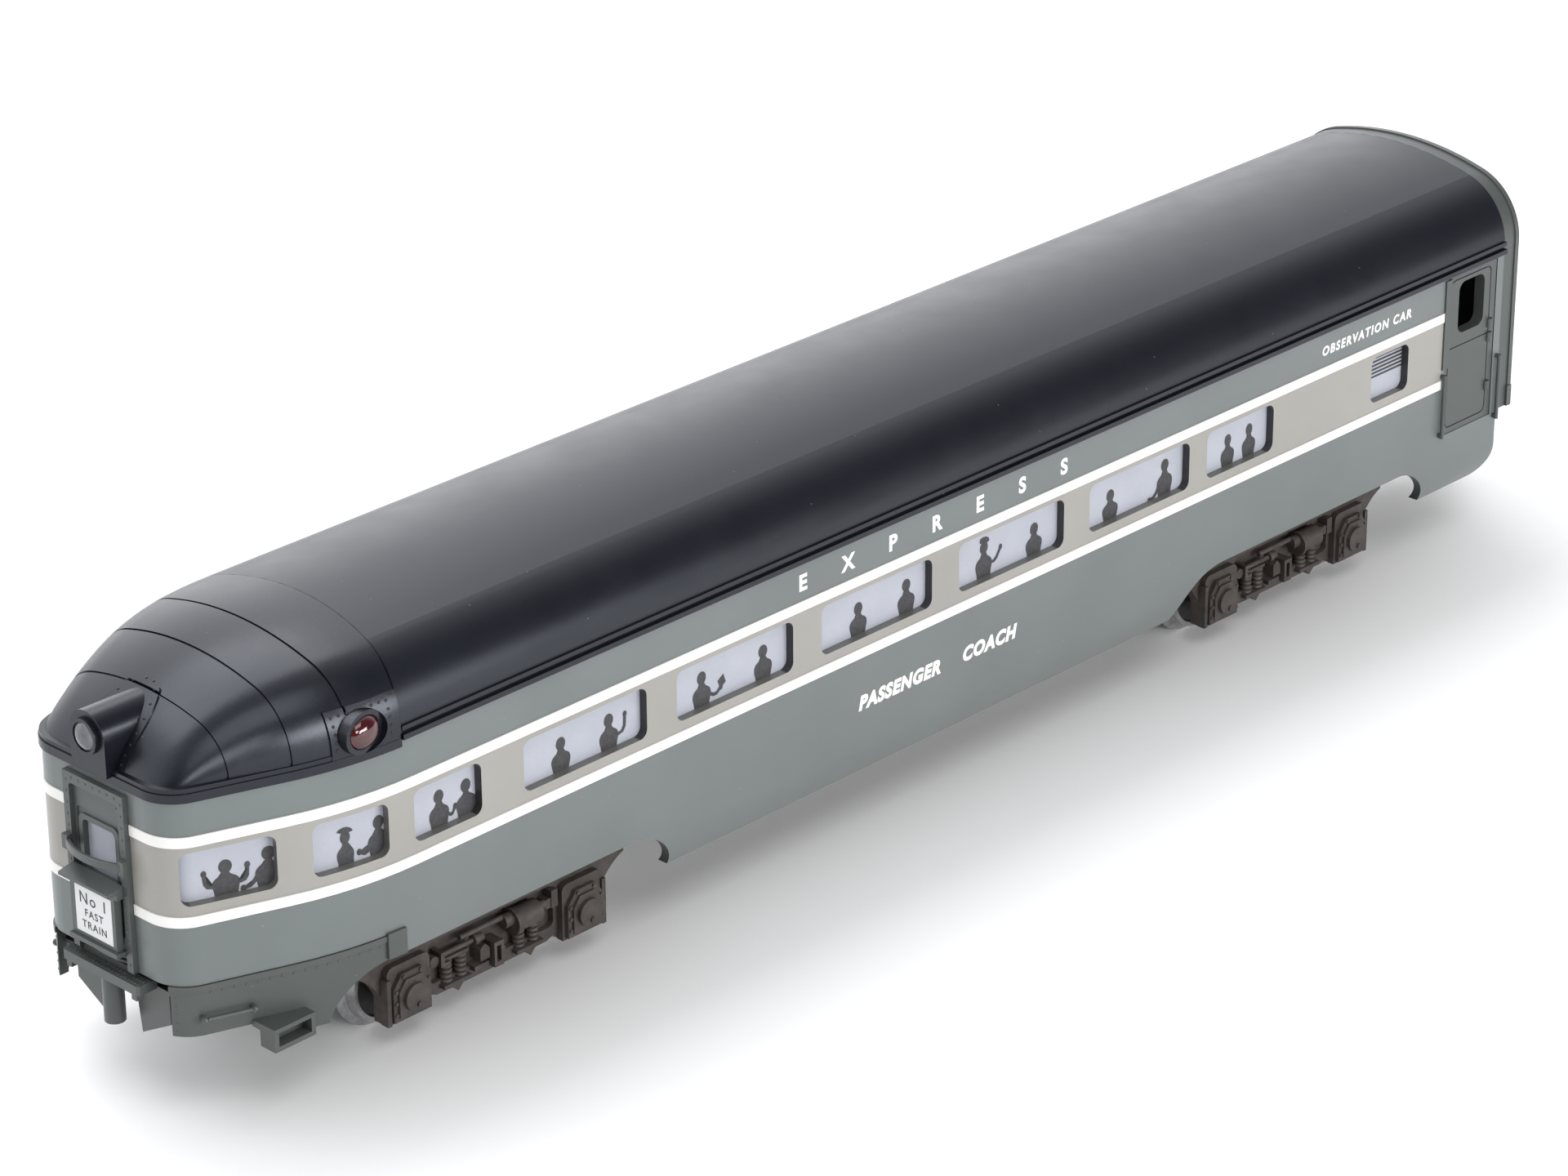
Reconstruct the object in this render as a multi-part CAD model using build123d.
from build123d import *
import os
from math import atan, cos, degrees, pi, radians, sin, sqrt, tan

# Gauge-0 observation coach, millimetres, +Z up, Z = 0 at the lowest point of the wheel flanges.
# +X points to the vestibule end, -X is the rounded observation end, Y is across the coach.

# ---- driving dimensions: body ----
HALF_W = 31.9            # flat side plane, from the centre plane
WALL = 1.9               # extruded aluminium wall
SKIRT_Z = 14.5           # lowest edge of the side skirt
CURL_R = 12.9            # skirt curls inward below CURL_TOP_Z
CURL_TOP_Z = 22.0
CREST_Z = 88.1           # top of the roof
CROWN_R = 77.0           # flat crown of the roof
ROOF_CORNER_R = 15.0     # shoulder between side and crown
GUTTER_Z = 69.0          # underside of the gutter, base of the dome
BODY_END_X = 186.0       # vestibule end of the extrusion
TAIL_X = -201.0          # flat end of the rounded tail
BEND_X = -152.0          # sides begin to bend in
BEND_R = 78.0
TAPER = 20.4             # degrees, straight run after the bend
NOSE_R = 8.0             # corner between taper and flat tail
SEAM_X = -154.7          # dome seam at the sides
SEAM_BOW = 3.8           # dome seam bows forward this far on the centre line
FIT = 0.1                # assembly gap between neighbouring castings
STRIPES_Z = ((41.85, 44.0), (58.35, 60.5))   # two raised beads that carry the stripes
STRIPE_PROUD = 0.3
STRIPE_END_X = 163.9

# ---- driving dimensions: windows and doors ----
WINDOW_Z = (46.1, 57.1)
WINDOW_CORNER_R = 1.9
WINDOW_PITCH = 41.25
WIDE_WINDOW = 33.0
MID_WINDOW_X = -24.9     # centre of the middle wide window
SMALL_WINDOWS = ((-143.5, 17.2), (91.5, 22.8), (144.5, 13.5))
TAIL_WINDOWS = ((-166.4, 16.4), (-189.9, 18.8))
STRIP_Z = (43.4, 59.8)
DOOR_X = (165.2, 183.6)
DOOR_Z = (29.6, 68.4)
DOOR_WINDOW = ((169.6, 179.2), (53.6, 66.2))

# ---- driving dimensions: running gear ----
TRUCK_X = {"rear": -126.1, "front": 118.2}
CUTOUT_SHIFT = -2.3      # wheel cut-outs sit slightly rearward of the kingpins
CUTOUT_HALF = 44.7
CUTOUT_TOP_Z = 24.4
HALF_WHEELBASE = 23.1
AXLE_Z = 10.3            # also the flange radius
TREAD_R = 8.7
WHEEL_BACK_Y = 14.2      # half the back-to-back distance for 31.75 mm gauge
WHEEL_FACE_Y = 18.6
AXLE_R = 1.55
SIDE_FRAME_Y = 21.2      # inner face of the truck side frame
FRAME_FACE_Y = 23.4
COUPLER_TIP_X = 206.0
COUPLER_Z = 14.6


# ---- small helpers ----
def block(x, y, z):
    """Box between the limits given for each axis."""
    size = [b - a for a, b in (x, y, z)]
    middle = [(a + b) / 2 for a, b in (x, y, z)]
    return Pos(*middle) * Box(*size)


def rod_x(radius, x, y, z):
    """Cylinder along X from x[0] to x[1]."""
    return Pos((x[0] + x[1]) / 2, y, z) * Rot(0, 90, 0) * Cylinder(radius, x[1] - x[0])


def rod_y(radius, x, y, z):
    """Cylinder along Y from y[0] to y[1]."""
    return Pos(x, (y[0] + y[1]) / 2, z) * Rot(90, 0, 0) * Cylinder(radius, y[1] - y[0])


def rod_z(radius, x, y, z):
    """Cylinder along Z from z[0] to z[1]."""
    return Pos(x, y, (z[0] + z[1]) / 2) * Cylinder(radius, z[1] - z[0])


def mirrored(shape):
    """The same shape on the other side of the centre plane Y = 0."""
    return mirror(shape, about=Plane.XZ)


def both_sides(shape):
    return shape + mirrored(shape)


def group(shapes):
    """Separate solids kept together in one node."""
    solids = [solid for shape in shapes for solid in shape.solids()]
    return Compound(children=solids)


def outline_y(points, y):
    """Prism of an XZ outline between y[0] and y[1]."""
    face = make_face(Polyline([(px, 0, pz) for px, pz in points], close=True))
    return Pos(0, y[0], 0) * extrude(face, amount=y[1] - y[0], dir=(0, 1, 0))


def outline_x(points, x):
    """Prism of a YZ outline between x[0] and x[1]."""
    face = make_face(Polyline([(0, py, pz) for py, pz in points], close=True))
    return Pos(x[0], 0, 0) * extrude(face, amount=x[1] - x[0], dir=(1, 0, 0))


def outline_z(points, z):
    """Prism of an XY outline between z[0] and z[1]."""
    face = make_face(Polyline([(px, py, 0) for px, py in points], close=True))
    return Pos(0, 0, z[0]) * extrude(face, amount=z[1] - z[0], dir=(0, 0, 1))


def rounded_y(x, z, radius, y):
    """Rounded rectangle in the XZ plane, extruded from y[0] to y[1]."""
    face = RectangleRounded(x[1] - x[0], z[1] - z[0], radius)
    plane = Plane(origin=((x[0] + x[1]) / 2, y[0], (z[0] + z[1]) / 2), x_dir=(1, 0, 0), z_dir=(0, 1, 0))
    return extrude(plane * face, amount=y[1] - y[0])


def rounded_x(y, z, radius, x):
    """Rounded rectangle in the YZ plane, extruded from x[0] to x[1]."""
    face = RectangleRounded(y[1] - y[0], z[1] - z[0], radius)
    plane = Plane(origin=(x[0], (y[0] + y[1]) / 2, (z[0] + z[1]) / 2), x_dir=(0, 1, 0), z_dir=(1, 0, 0))
    return extrude(plane * face, amount=x[1] - x[0])


# ---- body outlines ----
CROWN_CENTRE_Z = CREST_Z - CROWN_R
CORNER_Y = HALF_W - ROOF_CORNER_R
CORNER_Z = CROWN_CENTRE_Z + sqrt((CROWN_R - ROOF_CORNER_R) ** 2 - CORNER_Y ** 2)
SHOULDER_ANGLE = (CORNER_Z - CROWN_CENTRE_Z) / (CROWN_R - ROOF_CORNER_R)   # sine of the tangent direction


def roof_tangent(inset):
    """Point where the shoulder arc meets the crown arc."""
    reach = CROWN_R - inset
    return (reach * CORNER_Y / (CROWN_R - ROOF_CORNER_R), CROWN_CENTRE_Z + reach * SHOULDER_ANGLE)


def section_face(inset=0.0, bottom=SKIRT_Z):
    """Cross-section of the coach body in YZ, moved inward by inset, closed at the bottom."""
    side = HALF_W - inset
    corner_mid = radians(38)
    top_y, top_z = roof_tangent(inset)
    foot_y = side
    low_z = max(bottom, CURL_TOP_Z)
    if bottom < CURL_TOP_Z:
        curl = CURL_R - inset
        curl_y = HALF_W - CURL_R
        foot_y = curl_y + sqrt(curl ** 2 - (CURL_TOP_Z - bottom) ** 2)
        mid_z = CURL_TOP_Z - curl * sin(radians(18))
        mid_y = curl_y + curl * cos(radians(18))
    bend_y = CORNER_Y + (ROOF_CORNER_R - inset) * cos(corner_mid)
    bend_z = CORNER_Z + (ROOF_CORNER_R - inset) * sin(corner_mid)
    edges = [ThreePointArc((-top_y, top_z), (0, CREST_Z - inset), (top_y, top_z))]
    for s in (-1, 1):
        if bottom < CURL_TOP_Z:
            edges.append(ThreePointArc((s * foot_y, bottom), (s * mid_y, mid_z), (s * side, CURL_TOP_Z)))
        edges.append(Line((s * side, low_z), (s * side, CORNER_Z)))
        edges.append(ThreePointArc((s * side, CORNER_Z), (s * bend_y, bend_z), (s * top_y, top_z)))
    edges.append(Line((-foot_y, bottom), (foot_y, bottom)))
    return make_face(Curve() + edges)


def body_prism(inset, x, bottom=SKIRT_Z):
    """The cross-section run along X."""
    return extrude(Plane.YZ.offset(x[0]) * section_face(inset, bottom), amount=x[1] - x[0])


def taper_start(inset):
    """End of the bend, where the straight taper begins, on the +Y side."""
    reach = BEND_R - inset
    return (BEND_X - reach * sin(radians(TAPER)), HALF_W - BEND_R + reach * cos(radians(TAPER)))


def nose_centre():
    """Centre of the corner arc between the taper and the flat tail, on the +Y side."""
    start_x, start_y = taper_start(NOSE_R)
    run = (start_x - TAIL_X - NOSE_R) / cos(radians(TAPER))
    return (TAIL_X + NOSE_R, start_y - run * sin(radians(TAPER)))


def plan_face(inset=0.0, end_x=BODY_END_X):
    """Plan of the coach body in XY with its tapering, rounded tail."""
    side = HALF_W - inset
    reach = BEND_R - inset
    corner = NOSE_R - inset
    half = radians(TAPER / 2)
    nose_x, nose_y = nose_centre()
    bend_x, bend_y = taper_start(inset)
    mid = (BEND_X - reach * sin(half), HALF_W - BEND_R + reach * cos(half))
    turn = radians(45 + TAPER / 2)
    edges = [Line((end_x, -side), (end_x, side))]
    edges.append(Line((nose_x - corner, -nose_y), (nose_x - corner, nose_y)))
    for s in (-1, 1):
        edges.append(Line((end_x, s * side), (BEND_X, s * side)))
        edges.append(ThreePointArc((BEND_X, s * side), (mid[0], s * mid[1]), (bend_x, s * bend_y)))
        entry = (nose_x - corner * sin(radians(TAPER)), s * (nose_y + corner * cos(radians(TAPER))))
        edges.append(Line((bend_x, s * bend_y), entry))
        turn_point = (nose_x - corner * sin(turn), s * (nose_y + corner * cos(turn)))
        edges.append(ThreePointArc(entry, turn_point, (nose_x - corner, s * nose_y)))
    return make_face(Curve() + edges)


def plan_prism(inset, z, end_x=BODY_END_X):
    """The plan run up along Z."""
    return extrude(Pos(0, 0, z[0]) * plan_face(inset, end_x), amount=z[1] - z[0])


def body_half_width(x):
    """Half width of the body plan at x."""
    bend_x, bend_y = taper_start(0)
    nose_x, nose_y = nose_centre()
    if x > BEND_X:
        return HALF_W
    if x > bend_x:
        return HALF_W - BEND_R + sqrt(BEND_R ** 2 - (BEND_X - x) ** 2)
    if x > nose_x - NOSE_R * sin(radians(TAPER)):
        return bend_y - (bend_x - x) * tan(radians(TAPER))
    return nose_y + sqrt(max(NOSE_R ** 2 - (nose_x - x) ** 2, 0))


def roof_height_at(y):
    """Height of the roof above the gutter base, at the full cross-section."""
    y = abs(y)
    top_y, _ = roof_tangent(0)
    if y <= top_y:
        return CROWN_CENTRE_Z + sqrt(CROWN_R ** 2 - y ** 2) - GUTTER_Z
    return CORNER_Z + sqrt(max(ROOF_CORNER_R ** 2 - (y - CORNER_Y) ** 2, 0)) - GUTTER_Z


# ---- roof dome at the tail ----
DOME_RISE = CREST_Z - GUTTER_Z
DOME_LENGTH = 46.7
DOME_START_X = -154.0
DOME_STATIONS = (-148.0, -154.0, -162.0, -170.0, -178.0, -185.0, -190.5, -194.8, -197.8, -199.6, -200.6)
DOME_WALL = 2.0
DOME_INSET_START_X = -174.0
DOME_INSET_RUN = 24.0
NOSE_INSET = 0.9


def dome_rise(x):
    """Height of the dome crest above its base at x."""
    share = min(max((DOME_START_X - x) / DOME_LENGTH, 0.0), 1.0)
    return DOME_RISE * (1 - share ** 2.7) ** (1 / 1.4)


def dome_inset(x):
    """How far the dome's foot is set in from the body sides, growing towards the nose."""
    share = min(max((DOME_INSET_START_X - x) / DOME_INSET_RUN, 0.0), 1.0)
    return NOSE_INSET * share ** 2


def dome_section(x, grow):
    """Arch of the dome at x: the roof arch scaled to the local width and crest height."""
    width = body_half_width(x) - dome_inset(x) + grow
    rise = dome_rise(x) + grow
    base = GUTTER_Z
    angles = [pi * i / 24 for i in range(25)]
    points = []
    for a in angles:
        y = cos(a)
        if abs(y) > 0.9999:
            points.append((x, width * y, base))
        else:
            points.append((x, width * y, base + rise * roof_height_at(HALF_W * y) / DOME_RISE))
    arch = Spline(points)
    floor_line = Line(points[-1], points[0])
    return make_face(Curve() + [arch, floor_line])


def dome_solid(grow=0.0, last=len(DOME_STATIONS)):
    """Solid dome, grown outward by grow."""
    return loft([dome_section(x, grow) for x in DOME_STATIONS[:last]])


def seam_region(gap, z):
    """Everything on the tail side of the bowed dome seam."""
    seam = SEAM_X - gap
    reach = 32.5
    bow = ThreePointArc((seam, -reach), (seam + SEAM_BOW, 0), (seam, reach))
    far = Polyline([(seam, reach), (seam, 40), (-215, 40), (-215, -40), (seam, -40), (seam, -reach)])
    return extrude(Pos(0, 0, z[0]) * make_face(Curve() + [bow, far]), amount=z[1] - z[0])


HEADLAMP_Z = 76.3
COWL_R = 5.0
COWL_FRONT_X = -202.6
LENS_R = 2.9
MARKER_X = -163.2
MARKER_Z = 73.4
MARKER_TURN = 8.2        # degrees, the side has turned in this far at the marker lamps


def tombstone(radius, x):
    """Arch-topped prism along X around the headlamp centre, standing on the dome base."""
    head = rod_x(radius, x, 0, HEADLAMP_Z)
    return head + block(x, (-radius, radius), (GUTTER_Z, HEADLAMP_Z))


def marker_frame(y_side=-1):
    """Location on the side of the dome, with local Y pointing outward from the lamp."""
    surface = body_half_width(MARKER_X)
    return Location((MARKER_X, y_side * surface, MARKER_Z), (0, 0, -y_side * MARKER_TURN))


def elliptic_plug(across, high, y):
    """Elliptic prism in the marker lamp's own frame, from y[0] to y[1]."""
    plane = Plane(origin=(0, y[0], 0), x_dir=(1, 0, 0), z_dir=(0, 1, 0))
    return extrude(plane * Ellipse(across, high), amount=y[1] - y[0])


def roof_dome():
    skin = dome_solid()
    cowl = tombstone(COWL_R, (COWL_FRONT_X, -189.0))
    cowl_flange = tombstone(COWL_R + 1.9, (-206.0, -188.0)) & dome_solid(0.4)
    plates = dome_solid(0.45) & both_sides(block((-170.0, -150.0), (20.0, 36.0), (GUTTER_Z, 78.6)))
    lip = plan_prism(-0.55, (67.6, 69.4), -150.0) + plan_prism(-0.3, (69.4, 70.4), -150.0)
    lip -= plan_prism(0.0, (60.0, GUTTER_Z), -140.0)
    dome = skin + cowl + cowl_flange + plates + lip
    dome -= loft([dome_section(x, -DOME_WALL) for x in DOME_STATIONS[:8]])
    dome -= plan_prism(DOME_WALL + 0.4, (66.0, 70.9), -140.0) & block((-197.5, -140), (-40, 40), (60, 80))
    for seam_x in (-165.8, -177.6, -189.0):
        groove = block((seam_x - 0.25, seam_x + 0.25), (-40, 40), (70.4, 95))
        dome -= groove - dome_solid(-0.35)
    dome &= seam_region(FIT, (60, 100))
    dome -= rod_x(LENS_R + 0.75, (-206.0, COWL_FRONT_X + 1.6), 0, HEADLAMP_Z)
    dome -= rod_x(1.6, (-206.0, -193.0), 0, HEADLAMP_Z)
    hole = marker_frame() * mirrored(elliptic_plug(5.25, 4.3, (-4, 6)))
    return dome - both_sides(hole)


def headlamp_bezel():
    ring = rod_x(LENS_R + 0.7, (COWL_FRONT_X - 0.9, COWL_FRONT_X + 1.5), 0, HEADLAMP_Z)
    return ring - rod_x(LENS_R + 0.02, (-210, -190), 0, HEADLAMP_Z)


def headlamp_lens():
    body = rod_x(LENS_R, (COWL_FRONT_X - 0.5, COWL_FRONT_X + 1.4), 0, HEADLAMP_Z)
    bulge_r = 4.2
    bulge = Pos(COWL_FRONT_X - 0.5 + sqrt(bulge_r ** 2 - LENS_R ** 2), 0, HEADLAMP_Z) * Sphere(bulge_r)
    front = bulge & rod_x(LENS_R, (COWL_FRONT_X - 3, COWL_FRONT_X - 0.5), 0, HEADLAMP_Z)
    return body + front


def marker_bezel():
    """Raised elliptic rim and hood of one marker lamp, on the -Y side."""
    rim = elliptic_plug(5.2, 4.25, (-1.9, 0.55)) - elliptic_plug(4.05, 3.3, (-3, 3))
    return marker_frame() * mirrored(rim)


def marker_jewel():
    """Domed red jewel on the -Y side."""
    seat = elliptic_plug(4.0, 3.25, (-2.4, 0.0))
    dome = scale(Sphere(1.0), by=(4.0, 2.3, 3.25)) & block((-6, 6), (0, 3), (-6, 6))
    return marker_frame() * mirrored(seat + dome)


# ---- body shell ----
def wide_window_centres():
    return [MID_WINDOW_X + WINDOW_PITCH * i for i in range(-2, 3)]


def window_cutters():
    """Window openings of the -Y side."""
    windows = [(x, WIDE_WINDOW) for x in wide_window_centres()]
    windows += list(SMALL_WINDOWS)
    cutters = []
    for x, width in windows:
        span = (x - width / 2, x + width / 2)
        cutters.append(rounded_y(span, WINDOW_Z, WINDOW_CORNER_R, (-40, -HALF_W + WALL + 2)))
    for x, width in TAIL_WINDOWS:
        turn = tail_turn(x)
        centre = (x, -body_half_width(x), 0)
        cutter = rounded_y((-width / 2, width / 2), WINDOW_Z, WINDOW_CORNER_R, (-4, 4.5))
        cutters.append(Location(centre, (0, 0, -turn)) * cutter)
    return cutters


def tail_turn(x):
    """Angle in degrees by which the side has turned in at x."""
    step = 0.05
    slope = (body_half_width(x + step) - body_half_width(x - step)) / (2 * step)
    return degrees(atan(slope))


def wheel_cutout(centre_x):
    """Opening in both skirts over one truck, with long elliptic ends."""
    low, high = centre_x - CUTOUT_HALF, centre_x + CUTOUT_HALF
    floor_z = SKIRT_Z - 2
    rise = CUTOUT_TOP_Z - floor_z
    rear, fore = 16.0, 11.0
    middle = block((low + rear, high - fore), (-40, 40), (floor_z - 1, CUTOUT_TOP_Z))
    plane = Plane(origin=(0, -40, 0), x_dir=(1, 0, 0), z_dir=(0, -1, 0))
    upper = block((low, high), (-40, 40), (floor_z, CUTOUT_TOP_Z + 1))
    for x, run in ((low + rear, rear), (high - fore, fore)):
        corner = extrude(plane * Pos(x, floor_z) * Ellipse(run, rise), amount=-80)
        middle += corner & upper
    return middle


def stripe_beads():
    """Raised beads round the tail and along both sides, clear of the tail door frame."""
    beads = plan_prism(-STRIPE_PROUD, STRIPES_Z[0], STRIPE_END_X)
    beads += plan_prism(-STRIPE_PROUD, STRIPES_Z[1], STRIPE_END_X)
    beads -= plan_prism(WALL / 2, (0, 100), BODY_END_X)
    half = FRAME_Y + FIT
    return beads - block((-205, TAIL_X + 0.1), (-half, half), (0, 100))


def body_shell():
    outer = body_prism(0, (-205, BODY_END_X)) & plan_prism(0, (0, 100))
    inner = body_prism(WALL, (-205, BODY_END_X + 1), SKIRT_Z - 1) & plan_prism(WALL, (0, 100), BODY_END_X + 1)
    shell = outer - inner
    for z, reach, high in ((GUTTER_Z, 0.9, 1.1), (GUTTER_Z + 1.9, 0.6, 0.9)):
        rib = block((SEAM_X, BODY_END_X), (HALF_W - 0.3, HALF_W + reach), (z, z + high))
        shell += both_sides(rib)
    ledge = block((-150.0, 163.0), (HALF_W - WALL - 2.4, HALF_W - WALL + 0.2), (28.8, 30.2))
    shell += both_sides(ledge) + stripe_beads()
    shell -= seam_region(0, (GUTTER_Z, 100))
    shell -= block((-210, -158.6), (-40, 40), (0, 29.5))
    shell -= block((-210, -196), (-7.7, 7.7), (0, FRAME_Z[1]))
    for x in TRUCK_X.values():
        shell -= wheel_cutout(x + CUTOUT_SHIFT)
    for cutter in window_cutters():
        shell -= both_sides(cutter)
    shell -= both_sides(block(DOOR_X, (20, 40), DOOR_Z))
    corner_r = 6.5
    corner = block((BODY_END_X - corner_r, BODY_END_X + 1), (-40, 40), (SKIRT_Z - 1, SKIRT_Z + corner_r))
    shell -= corner - rod_y(corner_r, BODY_END_X - corner_r, (-41, 41), SKIRT_Z + corner_r)
    return shell


# ---- floor, windows and lamps ----
FLOOR_Z = (27.0, 28.6)
KINGPIN_R = 2.4
BOLSTER_TOP_Z = 21.0


def floor_screw_places():
    return [(x, s * (HALF_W - WALL - 2.1)) for x in (-70.0, 20.0, 62.0) for s in (-1, 1)]


def floor_pan():
    pan = plan_prism(WALL + 0.2, FLOOR_Z, BODY_END_X - 0.4)
    pan -= block((-210, -196.8), (-40, 40), (20, 35))
    for x in TRUCK_X.values():
        pan += rod_z(5.6, x, 0, (BOLSTER_TOP_Z + 0.2, FLOOR_Z[0]))
        pan -= rod_z(KINGPIN_R, x, 0, (20, 32))
    for y in (-13.0, 13.0):
        pan += block((-72, 64), (y - 1.2, y + 1.2), (25.4, FLOOR_Z[0]))
    for x, y in floor_screw_places():
        pan -= rod_z(0.9, x, y, (20, 32))
    return pan


def floor_screws():
    screws = []
    for x, y in floor_screw_places():
        head = rod_z(1.7, x, y, (26.0, FLOOR_Z[0]))
        screws.append(head + rod_z(0.9, x, y, (26.0, FLOOR_Z[1])))
    return group(screws)


def kingpins():
    pins = []
    for x in TRUCK_X.values():
        head = rod_z(4.2, x, 0, (16.1, 17.4)) - block((x - 5, x + 5), (-0.5, 0.5), (15, 16.6))
        pins.append(head + rod_z(KINGPIN_R, x, 0, (17.4, 30.6)))
    return group(pins)


def window_strip():
    """Translucent strip behind every window of the -Y side."""
    outer = plan_prism(WALL + 0.05, STRIP_Z, 158.0)
    strip = outer - plan_prism(WALL + 0.75, (0, 100), 170.0)
    return strip & block((-198.4, 158.0), (-40, -10), STRIP_Z)


LAMP_X = (-86.0, 78.0)


def lamp_sockets():
    sockets = []
    for x in LAMP_X:
        base = block((x - 6, x + 6), (-5, 5), (FLOOR_Z[1], 29.8))
        barrel = rod_z(4.6, x, 0, (29.8, 40.0)) - rod_z(3.7, x, 0, (31.0, 41.0))
        sockets.append(base + barrel)
    return group(sockets)


def lamp_bulbs():
    bulbs = []
    for x in LAMP_X:
        stem = rod_z(3.6, x, 0, (31.2, 41.0))
        bulbs.append(stem + Pos(x, 0, 45.2) * Sphere(5.2))
    return group(bulbs)


# ---- tail door, sign and platform ----
FRAME_Y = 8.7
FRAME_Z = (29.6, 66.4)
FRAME_FRONT_X = -202.3
TAIL_WINDOW = ((-4.7, 4.7), (46.5, 57.2))
SIGN_X = -203.9
SIGN_Z = (33.6, 45.2)
SIGN_HALF = 6.3
PLATFORM_Z = (26.2, 28.2)
GATE_X = -200.4
GLASS_X = (-200.2, -199.5)


def tail_door_frame():
    front = block((FRAME_FRONT_X, TAIL_X), (-FRAME_Y, FRAME_Y), FRAME_Z)
    plug = block((TAIL_X, -198.6), (-7.55, 7.55), FRAME_Z)
    door = front + plug
    door -= rounded_x((-7.0, 7.0), (30.9, 64.2), 0.8, (-204, FRAME_FRONT_X + 0.9))
    panel = rounded_x((-6.1, 6.1), (32.0, 59.6), 0.8, (-204, FRAME_FRONT_X + 1.2))
    door -= panel
    trim = rounded_x((-5.8, 5.8), (45.4, 58.3), 1.5, (FRAME_FRONT_X + 0.85, FRAME_FRONT_X + 1.4))
    door += trim
    door -= rounded_x(TAIL_WINDOW[0], TAIL_WINDOW[1], 1.1, (-210, -190))
    door -= rounded_x((-5.2, 5.2), (46.0, 57.7), 1.2, (GLASS_X[0], -190))
    door -= block((-204, GATE_X + 0.6), (-7.0, 7.0), (FRAME_Z[0] - 1, 33.4))
    for z in (60.8, 48.5, 34.0):
        hinge = rod_z(0.5, FRAME_FRONT_X + 0.5, -6.8, (z, z + 2.6))
        door += hinge
    return door


def tail_door_glass():
    return rounded_x((-5.1, 5.1), (46.1, 57.6), 1.1, GLASS_X)


def tail_handrail():
    """Bowed safety rail across the door window, with its two end brackets."""
    end_y = 7.6
    bow = ThreePointArc((-202.9, -end_y, 51.8), (-204.9, 0, 51.8), (-202.9, end_y, 51.8))
    profile = Plane(origin=bow @ 0, z_dir=bow % 0) * RectangleRounded(1.0, 1.6, 0.3)
    rail = sweep(profile, path=bow)
    ears = both_sides(block((-203.3, FRAME_FRONT_X), (7.3, 8.9), (50.3, 53.3)))
    return rail + ears


def tail_sign_box():
    box = block((SIGN_X, FRAME_FRONT_X), (-SIGN_HALF, SIGN_HALF), SIGN_Z)
    box -= block((SIGN_X - 1, SIGN_X + 0.5), (-5.35, 5.35), (34.7, 44.5))
    hood = outline_y([(-206.0, 46.3), (-206.0, 46.9), (FRAME_FRONT_X, 47.7), (FRAME_FRONT_X, 45.0),
                      (SIGN_X, 45.0), (SIGN_X, 46.3)], (-7.2, 7.2))
    sill = block((-204.5, FRAME_FRONT_X), (-6.9, 6.9), (32.9, 33.8))
    return box + hood + sill


def tail_sign_panel():
    return block((SIGN_X + 0.02, SIGN_X + 0.5), (-5.3, 5.3), (34.75, 44.45))


def tail_gate_bars():
    """Three bowed bars between two posts, in the foot of the door frame."""
    end_y = 6.3
    gate = None
    for z in (32.5, 31.4, 30.3):
        path = ThreePointArc((GATE_X, -end_y, z), (GATE_X - 1.1, 0, z), (GATE_X, end_y, z))
        profile = Plane(origin=path @ 0, z_dir=path % 0) * Circle(0.34)
        bar = sweep(profile, path=path)
        gate = bar if gate is None else gate + bar
    return gate + both_sides(rod_z(0.5, GATE_X, end_y, (FRAME_Z[0], 33.2)))


def tail_platform():
    half, front, back, chamfer = 11.1, -203.5, -198.8, 0.5
    outline = [(front, -half + chamfer), (front + chamfer, -half), (back, -half), (back, half),
               (front + chamfer, half), (front, half - chamfer)]
    deck = outline_z(outline, PLATFORM_Z)
    sill = block((-201.0, -198.9), (-7.5, 7.5), (PLATFORM_Z[1], FRAME_Z[0]))
    lugs = both_sides(block((-203.2, -201.6), (8.8, 10.2), (24.8, PLATFORM_Z[0])))
    return deck + sill + lugs


def tail_skirt():
    ring = plan_prism(0, (15.0, 29.4)) - plan_prism(WALL, (0, 40))
    ring &= block((-210, -158.7), (-40, 40), (0, 40))
    ring -= block((-210, -150), (-16.6, 16.6), (0, 40))
    ring -= block((-210, -182), (-40, 40), (0, 18.8))
    ring -= wheel_cutout(TRUCK_X["rear"] + CUTOUT_SHIFT)
    bridge = plan_prism(WALL - 0.3, (25.4, PLATFORM_Z[0])) & block((-198.4, -160.5), (-40, 40), (0, 40))
    cap_band = plan_prism(-0.35, (28.2, 29.4)) - plan_prism(0.5, (0, 40))
    cap_band &= block((-210, -158.7), (-40, 40), (0, 40))
    cap_band -= block((-210, -150), (-16.6, 16.6), (0, 40))
    tab = plan_prism(-0.7, (24.5, 29.9)) - plan_prism(0.0, (0, 40), BODY_END_X + 4)
    tab &= block((-160.0, -155.6), (-40, 40), (0, 40))
    return ring + bridge + cap_band + tab


def tail_step():
    """Boxed foot step of the -Y side."""
    box = block((-187.3, -177.3), (-30.4, -26.2), (15.0, 19.8))
    box -= block((-186.3, -178.3), (-32.0, -27.6), (16.0, 18.9))
    arm = block((-187.3, -177.3), (-26.4, -22.6), (18.4, 19.8))
    return (box + arm) - plan_prism(0.0, (0, 40))


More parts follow.
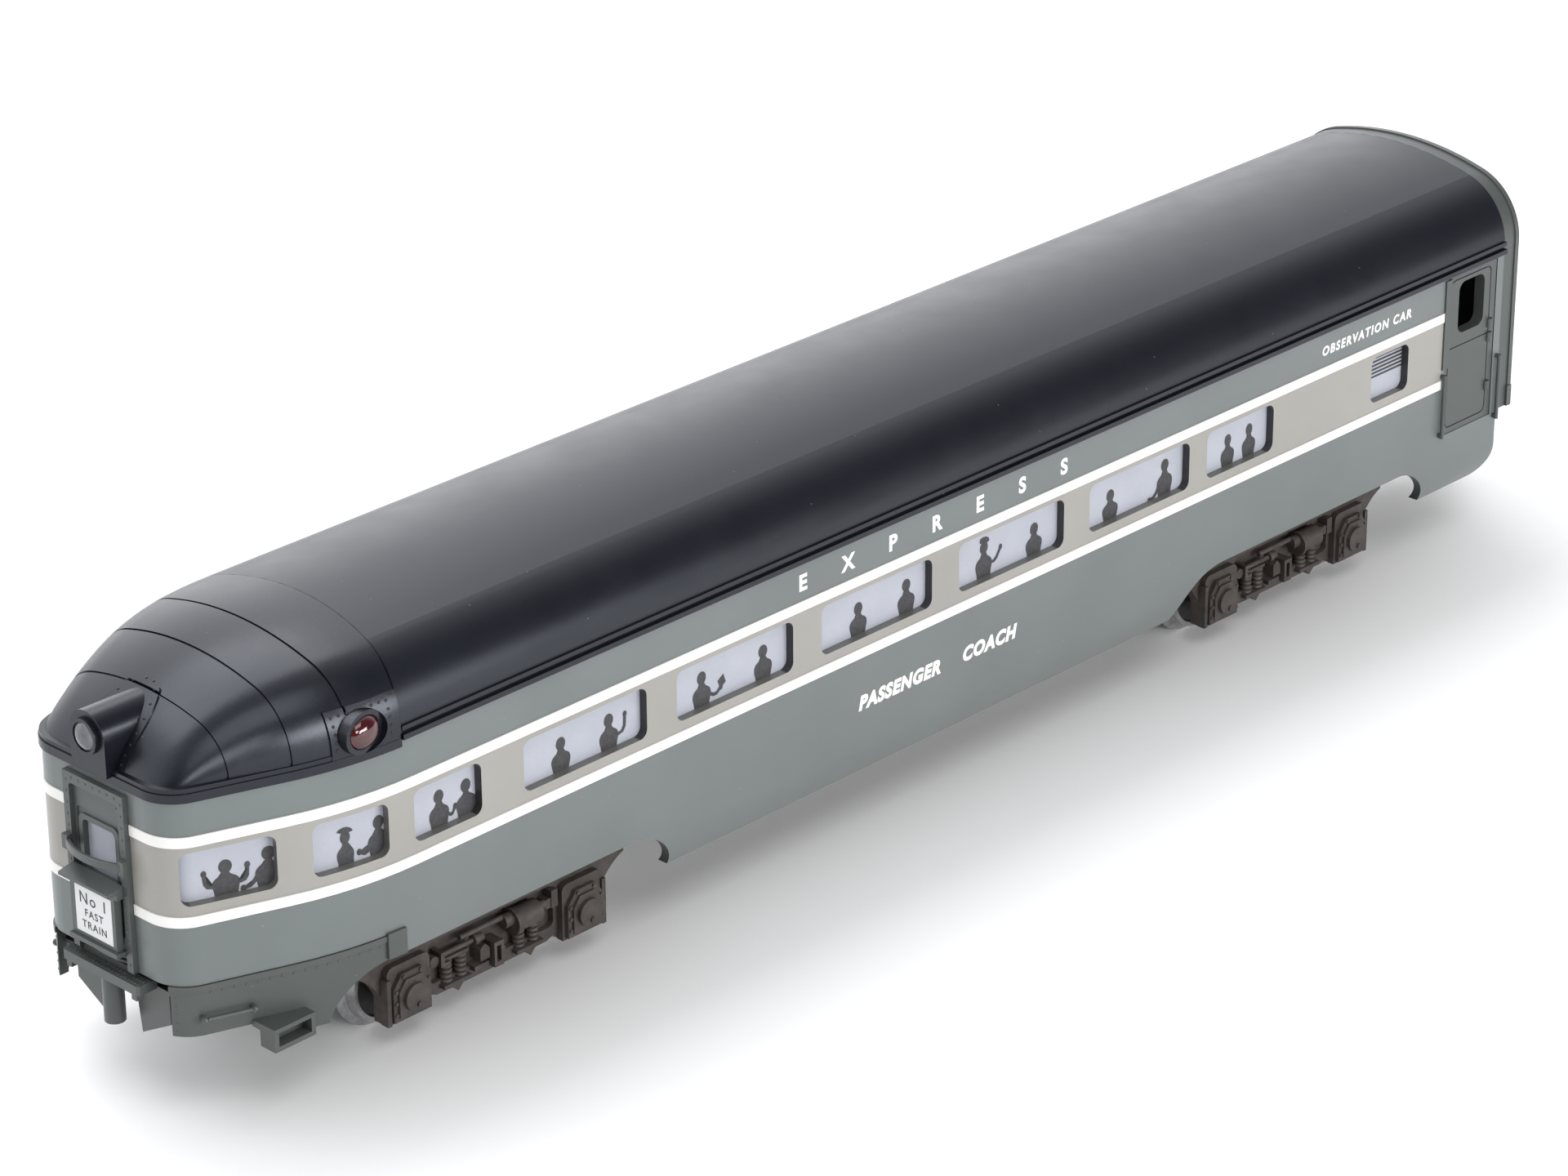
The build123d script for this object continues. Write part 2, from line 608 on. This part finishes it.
def tail_grab_iron():
    """Grab iron on the -Y side of the tail skirt, parallel to the tapering side."""
    ends = []
    for x in (-196.2, -187.0):
        reach = 1.25
        surface = -body_half_width(x)
        out = Vector(-sin(radians(TAPER)), -cos(radians(TAPER)), 0)
        start = Vector(x, surface, 22.6)
        ends.append((start, start + out * reach))
    (foot_a, top_a), (foot_b, top_b) = ends
    bar = Cylinder(0.42, (top_b - top_a).length)
    bar = Plane(origin=(top_a + top_b) * 0.5, z_dir=top_b - top_a) * bar
    for foot, top in ends:
        post = Plane(origin=(foot + top) * 0.5, z_dir=top - foot) * Cylinder(0.7, (top - foot).length)
        bar += post + Pos(*top) * Sphere(0.75)
    return bar - plan_prism(0.0, (0, 40))


def tail_post():
    """Round post below the platform."""
    return rod_z(2.1, -200.6, 0, (16.0, PLATFORM_Z[0])) - rod_z(1.1, -200.6, 0, (15, 18.5))


def tail_pilot_plate():
    """Slanting deflector plate on the -Y side below the platform."""
    return outline_x([(-3.6, 25.4), (-5.0, 14.2), (-13.6, 19.0), (-13.6, 25.4)], (-198.2, -197.3))


# ---- vestibule end ----
def vestibule_end():
    x_out = 191.0
    low_z = 30.0
    ring = body_prism(0, (BODY_END_X, x_out), low_z)
    ring += body_prism(-0.35, (x_out - 1.3, x_out), low_z)
    ring -= body_prism(WALL + 0.3, (BODY_END_X - 1, x_out - 1.5), low_z + 1.6)
    ring -= rounded_x((-9.0, 9.0), (32.0, 67.0), 1.5, (180, 200))
    feet = both_sides(block((x_out - 1.6, x_out), (HALF_W - 0.4, HALF_W + 0.6), (low_z, low_z + 5.0)))
    tongues = both_sides(block((BODY_END_X - 6, x_out - 1.4), (14, 22), (80.2, 82.0)))
    ring = ring + feet + tongues
    for y, z in END_SCREWS:
        ring -= rod_x(1.0, (180, 200), y, z)
    return ring


END_SCREWS = ((-19.0, 76.0), (19.0, 76.0), (-19.0, 36.0), (19.0, 36.0))


def end_screws():
    screws = []
    for y, z in END_SCREWS:
        head = rod_x(2.0, (191.0, 192.1), y, z) - block((191.7, 193), (y - 2.5, y + 2.5), (z - 0.3, z + 0.3))
        screws.append(head + rod_x(1.0, (186.6, 191.0), y, z))
    return group(screws)


def end_door():
    door = rounded_x((-8.9, 8.9), (32.1, 66.9), 1.4, (189.8, 191.0))
    door -= rounded_x((-5.2, 5.2), (50.0, 62.0), 1.2, (185, 195))
    return door + rod_x(0.9, (191.0, 192.0), 6.6, 47.0)


def diaphragm():
    """Folded gangway bellows around the end door."""
    outer, inner = 12.0, 9.6
    ring = rounded_x((-outer, outer), (29.6, 70.0), 2.0, (191.0, 192.4))
    for start in (192.4, 194.6):
        ring += rounded_x((-outer + 1.2, outer - 1.2), (30.8, 68.8), 2.0, (start, start + 0.9))
        ring += rounded_x((-outer, outer), (29.6, 70.0), 2.0, (start + 0.9, start + 2.2))
    return ring - rounded_x((-inner, inner), (31.4, 67.6), 1.4, (190, 200))


def vestibule_door():
    """Side door of the -Y side, set into the opening of the extrusion."""
    face_y = -HALF_W + 0.15
    slab = block((DOOR_X[0] + FIT, DOOR_X[1] - FIT), (face_y, face_y + 2.2), (DOOR_Z[0] + FIT, DOOR_Z[1] - FIT))
    backing = block((DOOR_X[0] - 1.5, DOOR_X[1] + 1.5), (-HALF_W + WALL + 0.03, -HALF_W + WALL + 1.0),
                    (DOOR_Z[0] - 1.0, DOOR_Z[1] + 0.6))
    groove = rounded_y((DOOR_X[0] + 1.2, 181.6), (31.0, 67.4), 1.6, (-40, face_y + 0.35))
    inner = rounded_y((DOOR_X[0] + 1.5, 181.3), (31.3, 67.1), 1.4, (-40, face_y + 0.5))
    door = slab + backing
    door -= groove - inner
    door -= block((DOOR_X[0] + 1.5, 181.3), (-40, face_y + 0.3), (50.5, 50.8))
    for z in (36.5, 48.6, 52.0):
        door += rod_z(0.75, 181.6, face_y - 0.1, (z, z + 2.2))
    door -= rounded_y(DOOR_WINDOW[0], DOOR_WINDOW[1], 2.2, (-40, 0))
    jamb = block((164.0, 166.2), (-HALF_W - 0.45, -HALF_W), (46.5, 68.2))
    return door + jamb + block((DOOR_X[0] + FIT, 166.2), (-HALF_W - 0.1, face_y + 0.2), (46.5, 68.2))


def vestibule_handrail(x, z):
    """One upright handrail with two feet, on the -Y side."""
    rail = rod_z(0.5, x, -HALF_W - 0.95, z)
    for foot_z in (z[0] + 0.5, z[1] - 0.5):
        rail += rod_y(0.55, x, (-HALF_W - 1.0, -HALF_W), foot_z)
    return rail


def vestibule_handrails():
    rails = []
    for x, z in ((164.2, (29.8, 45.4)), (185.0, (28.4, 44.4))):
        rail = vestibule_handrail(x, z)
        rails += [rail, mirrored(rail)]
    return group(rails)


# ---- trucks, modelled around their kingpin at X = 0 ----
POCKET_Y = 22.0
RIVET_X = (-5.0, 5.0)
RIVET_Z = 13.0


def frame_blank():
    """Flat side-frame casting with concave, flared ends, on the -Y side."""
    top, low = 20.4, 5.0
    end, flare = 28.9, 36.2
    half = []
    for s in (-1, 1):
        arc = ThreePointArc((s * flare, 0, 17.6), (s * 31.6, 0, 14.6), (s * end, 0, 10.4))
        half.append((s, arc))
    edges = [Line((-flare, 0, top), (flare, 0, top))]
    for s, arc in half:
        edges.append(Line((s * flare, 0, top), (s * flare, 0, 17.6)))
        edges.append(arc)
        edges.append(Polyline([(s * end, 0, 10.4), (s * end, 0, low), (s * 17.8, 0, low), (s * 16.4, 0, 6.3),
                               (s * 14.6, 0, 5.6)]))
    edges.append(Line((-14.6, 0, 5.6), (14.6, 0, 5.6)))
    face = make_face(Curve() + edges)
    return Pos(0, -FRAME_FACE_Y, 0) * extrude(face, amount=FRAME_FACE_Y - SIDE_FRAME_Y, dir=(0, 1, 0))


def journal_box(x):
    """Pedestal, stepped cover, cap and bolts of one journal, on the -Y side."""
    s = 1 if x > 0 else -1
    pedestal = rounded_y((x - 5.5, x + 5.5), (5.0, 17.3), 1.6, (-25.0, -FRAME_FACE_Y))
    pedestal += block((x - 5.5, x + 5.5), (-25.0, -FRAME_FACE_Y), (5.0, 8.0))
    cover = outline_y([(x - 4.8, 5.6), (x + 4.8, 5.6), (x + 4.8, 12.6), (x + 2.6, 15.6), (x - 2.6, 15.6),
                       (x - 4.8, 12.6)], (-26.0, -25.0))
    lid = outline_y([(x - 3.8, 6.6), (x + 3.8, 6.6), (x + 3.8, 12.1), (x + 2.0, 14.4), (x - 2.0, 14.4),
                     (x - 3.8, 12.1)], (-26.6, -26.0))
    cap = rod_y(2.85, x, (-27.5, -26.6), AXLE_Z)
    stud = rod_y(0.6, x + 0.4, (-27.9, -27.5), AXLE_Z - 1.7)
    box = pedestal + cover + lid + cap + stud
    for dx, z in ((-4.2, 7.2), (-4.2, 9.8), (-4.2, 12.3), (4.2, 7.2), (4.2, 9.8), (4.2, 12.3), (-2.2, 15.0), (2.2, 15.0)):
        box += rod_y(0.42, x + dx, (-26.35, -26.0), z)
    rib = block((x + s * 5.5 - 0.5, x + s * 5.5 + 0.5), (-25.5, -FRAME_FACE_Y), (5.0, 15.0))
    return box + rib


def coil_spring(x, z):
    """Cast spring: a core with stacked coils, on the -Y side."""
    spring = rod_z(0.85, x, -23.3, z)
    turns = 5
    pitch = (z[1] - z[0]) / turns
    for i in range(turns):
        middle = z[0] + pitch * (i + 0.5)
        spring += Pos(x, -23.3, middle) * Torus(0.95, 0.42)
    return spring


def brake_rigging():
    """Brake cylinder, rods, levers, spring seats and hanger loop, on the -Y side."""
    y = -24.2
    parts = rod_x(2.5, (5.0, 11.2), y, 14.4) + rod_x(2.85, (4.3, 5.0), y, 14.4)
    parts += rod_x(1.5, (2.2, 4.3), y, 15.2) + rod_x(1.0, (11.2, 13.4), y, 14.8)
    parts += rod_x(0.6, (-9.0, 2.2), y + 0.1, 16.2) + rod_x(0.55, (-14.4, -4.2), y + 0.1, 14.3)
    parts += rod_x(1.1, (-5.6, -4.4), y, 14.3) + rod_x(0.9, (-4.4, -3.2), y, 14.3)
    parts += block((-14.8, -13.8), (-25.2, -21.9), (12.2, 15.4)) + block((-14.8, -12.4), (-25.2, -24.0), (12.2, 12.9))
    parts += rod_y(1.15, -16.0, (-24.6, -21.9), 13.8) + rod_y(1.1, 14.4, (-24.6, -21.9), 14.6)
    parts += block((15.0, 16.7), (-24.8, -21.9), (13.4, 17.2))
    parts += outline_y([(-4.4, 9.4), (-1.9, 9.4), (-1.9, 11.6), (-3.1, 12.9), (-4.4, 12.0)], (-25.0, -21.9))
    loop = block((-1.5, 1.0), (-25.9, -21.9), (7.2, 12.6)) - block((-0.8, 0.3), (-27, -23.6), (8.2, 11.7))
    parts += loop + block((-5.8, -2.0), (-24.8, -21.9), (7.6, 8.6)) + block((1.0, 2.2), (-25.0, -21.9), (8.8, 10.4))
    for middle in (-10.3, 8.95):
        parts += block((middle - 3.6, middle + 3.6), (-25.0, -21.9), (6.9, 7.7))
        seat = [(middle - 1.6, 7.0), (middle + 1.6, 7.0), (middle, 5.4)]
        parts += outline_y(seat, (-24.9, -23.2))
        parts += block((middle - 3.4, middle + 3.4), (-24.4, -21.9), (12.6, 13.3))
    return parts


def truck_side_frame():
    """Truck side frame of the -Y side."""
    frame = frame_blank()
    frame -= rounded_y((-16.6, 16.6), (8.4, 17.6), 1.4, (-30, -POCKET_Y))
    for x in (-12.2, -8.4, 7.05, 10.85):
        frame += coil_spring(x, (7.5, 12.8))
    frame += brake_rigging()
    for x in (-HALF_WHEELBASE, HALF_WHEELBASE):
        frame += journal_box(x)
        frame -= rod_y(AXLE_R + 0.07, x, (-25.3, -20.0), AXLE_Z)
    for x in RIVET_X:
        frame -= rod_y(0.9, x, (-22.5, -20.0), RIVET_Z)
    return frame


def truck_bolster():
    """Cross member carrying the kingpin, with a lug at each side frame."""
    plate = block((-8.6, 8.6), (-SIDE_FRAME_Y, SIDE_FRAME_Y), (17.6, 19.6))
    plate += rod_z(6.4, 0, 0, (19.6, BOLSTER_TOP_Z))
    for s in (-1, 1):
        lug = block((-7.5, 7.5), (20.2, SIDE_FRAME_Y), (10.6, 17.6))
        plate += lug if s > 0 else mirrored(lug)
        plate += both_sides(block((s * 7.0 - 0.8, s * 7.0 + 0.8), (6.0, 20.2), (16.4, 17.6)))
    plate -= rod_z(KINGPIN_R + 0.06, 0, 0, (15, 25))
    for x in RIVET_X:
        plate -= rod_y(0.9, x, (-25, 25), RIVET_Z)
    return plate


def truck_rivets():
    rivets = []
    for x in RIVET_X:
        rivet = rod_y(1.7, x, (-20.2, -19.5), RIVET_Z) + rod_y(0.9, x, (-POCKET_Y, -20.2), RIVET_Z)
        rivets += [rivet, mirrored(rivet)]
    return group(rivets)


def wheel_half(s):
    """Flanged wheel with a conical tread and a dished face, revolved about its axle."""
    back, face = WHEEL_BACK_Y, WHEEL_FACE_Y
    profile = [(AXLE_R, back), (9.3, back), (AXLE_Z, back + 0.55), (AXLE_Z, back + 0.85), (9.2, back + 1.5),
               (TREAD_R, back + 2.0), (TREAD_R - 0.25, face), (7.5, face), (7.2, face - 0.9), (3.2, face - 1.1),
               (2.9, face + 0.6), (AXLE_R, face + 0.6)]
    outline = make_face(Polyline([(r, y, 0) for r, y in profile], close=True))
    wheel = Pos(0, 0, AXLE_Z) * revolve(outline, axis=Axis.Y)
    return wheel if s > 0 else mirrored(wheel)


def axle():
    return rod_y(AXLE_R, 0, (-24.9, 24.9), AXLE_Z)


# ---- centre-rail pickup under each truck ----
PIVOT = (-6.8, 14.4)
ROLLER = (4.6, 3.95)
ROLLER_R = 2.9


def pickup_bracket():
    """Insulating bracket below the bolster that carries the pickup arm."""
    bracket = block((-8.4, -5.2), (-3.0, 3.0), (12.8, 17.6))
    return bracket - rod_y(0.86, PIVOT[0], (-5, 5), PIVOT[1])


def pickup_arm():
    """Forked arm with its hinge pin and roller pin."""
    run = Vector(ROLLER[0] - PIVOT[0], 0, ROLLER[1] - PIVOT[1])
    side = Vector(-run.Z, 0, run.X).normalized()
    width = 1.5
    corners = [Vector(PIVOT[0], 0, PIVOT[1]) + side * width, Vector(PIVOT[0], 0, PIVOT[1]) - side * width,
               Vector(ROLLER[0], 0, ROLLER[1]) - side * width, Vector(ROLLER[0], 0, ROLLER[1]) + side * width]
    cheek = outline_y([(v.X, v.Z) for v in corners], (3.9, 4.6))
    cheek += rod_y(width, PIVOT[0], (3.9, 4.6), PIVOT[1]) + rod_y(width, ROLLER[0], (3.9, 4.6), ROLLER[1])
    arm = both_sides(cheek)
    start = Vector(PIVOT[0], 0, PIVOT[1]) + run * 0.36
    end = Vector(PIVOT[0], 0, PIVOT[1]) + run * 0.62
    web = [start - side * width, end - side * width, end - side * (width - 0.7), start - side * (width - 0.7)]
    arm += outline_y([(v.X, v.Z) for v in web], (-4.6, 4.6))
    arm += rod_y(0.8, PIVOT[0], (-4.9, 4.9), PIVOT[1])
    return arm + rod_y(0.7, ROLLER[0], (-4.9, 4.9), ROLLER[1])


def pickup_roller():
    roller = rod_y(ROLLER_R, ROLLER[0], (-3.4, 3.4), ROLLER[1])
    roller -= rod_y(ROLLER_R + 1, ROLLER[0], (-0.6, 0.6), ROLLER[1]) - rod_y(2.4, ROLLER[0], (-1, 1), ROLLER[1])
    return roller - rod_y(0.76, ROLLER[0], (-5, 5), ROLLER[1])


# ---- knuckle coupler on the vestibule-end truck ----
KNUCKLE_PIN = (198.2, -4.4)
FLAP_HINGE = (186.0, 10.4)


def coupler_head():
    """Drawbar from the front truck's bolster with the fixed coupler head."""
    truck_x = TRUCK_X["front"]
    bar = block((truck_x + 7.0, 192.5), (-4.2, 4.2), (13.6, 15.2))
    bar += block((truck_x + 4.8, truck_x + 8.4), (-4.2, 4.2), (13.6, 16.4))
    bar += block((truck_x + 5.4, truck_x + 8.4), (-4.2, 4.2), (16.4, 17.6))
    head = block((190.0, 195.6), (-6.4, 6.4), (COUPLER_Z - 3.4, COUPLER_Z + 3.4))
    horn = outline_z([(195.6, 6.4), (195.6, 2.2), (199.0, 3.0), (204.6, 6.6), (204.6, 8.2), (200.0, 7.4)],
                     (COUPLER_Z - 2.6, COUPLER_Z + 2.6))
    ears = outline_z([(195.6, -6.4), (200.2, -6.4), (200.2, -2.6), (195.6, -2.0)],
                     (COUPLER_Z - 3.4, COUPLER_Z + 3.4))
    ears -= block((195.6, 201), (-8, 0), (COUPLER_Z - 2.1, COUPLER_Z + 2.1))
    head = bar + head + horn + ears
    head -= rod_z(1.0, KNUCKLE_PIN[0], KNUCKLE_PIN[1], (5, 25))
    hinge = both_sides(block((184.8, 187.2), (3.0, 4.2), (9.2, 13.6)))
    hinge -= rod_y(0.76, FLAP_HINGE[0], (-6, 6), FLAP_HINGE[1])
    return head + hinge


def coupler_knuckle():
    """Swinging knuckle, closed."""
    z = (COUPLER_Z - 1.9, COUPLER_Z + 1.9)
    hub = rod_z(1.9, KNUCKLE_PIN[0], KNUCKLE_PIN[1], z)
    finger = outline_z([(196.9, -5.8), (201.6, -6.3), (204.6, -4.8), (COUPLER_TIP_X, -1.6), (205.2, 0.9), (202.6, 1.2),
                        (202.4, -0.9), (202.9, -2.4), (200.8, -3.2), (197.6, -2.6)], z)
    return hub + finger - rod_z(1.06, KNUCKLE_PIN[0], KNUCKLE_PIN[1], (5, 25))


def coupler_pin():
    x, y = KNUCKLE_PIN
    return rod_z(1.0, x, y, (COUPLER_Z - 3.7, COUPLER_Z + 3.4)) + rod_z(1.6, x, y, (COUPLER_Z + 3.4, COUPLER_Z + 4.1))


def uncoupling_flap():
    """Sprung armature flap with its round button, under the drawbar."""
    x, z = FLAP_HINGE
    flap = block((x - 0.9, x + 9.5), (-2.6, 2.6), (z - 1.5, z - 0.7))
    flap += block((x - 0.9, x + 0.9), (-2.6, 2.6), (z - 1.0, z + 0.9))
    button = rod_z(2.2, x + 6.4, 0, (z - 3.4, z - 2.7)) + rod_z(0.8, x + 6.4, 0, (z - 2.8, z - 1.4))
    return flap + button + rod_y(0.7, x, (-4.5, 4.5), z)


# ---- assembly ----
def coach_nodes():
    strip = window_strip()
    return {
        "body_shell": body_shell(),
        "roof_dome": roof_dome(),
        "headlamp_bezel": headlamp_bezel(),
        "headlamp_lens": headlamp_lens(),
        "marker_bezels": group([marker_bezel(), mirrored(marker_bezel())]),
        "marker_lens_right": marker_jewel(),
        "marker_lens_left": mirrored(marker_jewel()),
        "floor_pan": floor_pan(),
        "floor_screws": floor_screws(),
        "kingpins": kingpins(),
        "window_strip_right": strip,
        "window_strip_left": mirrored(strip),
        "lamp_sockets": lamp_sockets(),
        "lamp_bulbs": lamp_bulbs(),
        "tail_door_frame": tail_door_frame(),
        "tail_door_glass": tail_door_glass(),
        "tail_handrail": tail_handrail(),
        "tail_sign_box": tail_sign_box(),
        "tail_sign_panel": tail_sign_panel(),
        "tail_gate_bars": tail_gate_bars(),
        "tail_platform": tail_platform(),
        "tail_skirt": tail_skirt(),
        "tail_steps": group([tail_step(), mirrored(tail_step())]),
        "tail_grab_irons": group([tail_grab_iron(), mirrored(tail_grab_iron())]),
        "tail_post": tail_post(),
        "tail_pilot_plates": group([tail_pilot_plate(), mirrored(tail_pilot_plate())]),
        "vestibule_end": vestibule_end(),
        "vestibule_door_right": vestibule_door(),
        "vestibule_door_left": mirrored(vestibule_door()),
        "vestibule_handrails": vestibule_handrails(),
        "end_door": end_door(),
        "end_screws": end_screws(),
        "diaphragm": diaphragm(),
    }


def truck_nodes(name):
    """Every piece of one truck, placed at its kingpin. The front truck faces the other way."""
    place = Pos(TRUCK_X[name], 0, 0)
    side = truck_side_frame()
    nodes = {
        f"{name}_side_frame_right": place * side,
        f"{name}_side_frame_left": place * mirrored(side),
        f"{name}_bolster": place * truck_bolster(),
        f"{name}_rivets": place * truck_rivets(),
        f"{name}_pickup_bracket": place * pickup_bracket(),
        f"{name}_pickup_arm": place * pickup_arm(),
        f"{name}_pickup_roller": place * pickup_roller(),
    }
    for end, x in (("rear", -HALF_WHEELBASE), ("fore", HALF_WHEELBASE)):
        nodes[f"{name}_{end}_axle"] = place * Pos(x, 0, 0) * axle()
        wheels = group([wheel_half(1), wheel_half(-1)])
        nodes[f"{name}_{end}_wheels"] = place * Pos(x, 0, 0) * wheels
    return nodes


def coupler_nodes():
    return {
        "coupler_head": coupler_head(),
        "coupler_knuckle": coupler_knuckle(),
        "coupler_pin": coupler_pin(),
        "uncoupling_flap": uncoupling_flap(),
    }


os.makedirs("parts", exist_ok=True)
all_nodes = coach_nodes()
for truck in TRUCK_X:
    all_nodes.update(truck_nodes(truck))
all_nodes.update(coupler_nodes())
for node, shape in all_nodes.items():
    export_step(shape, f"parts/{node}.step")
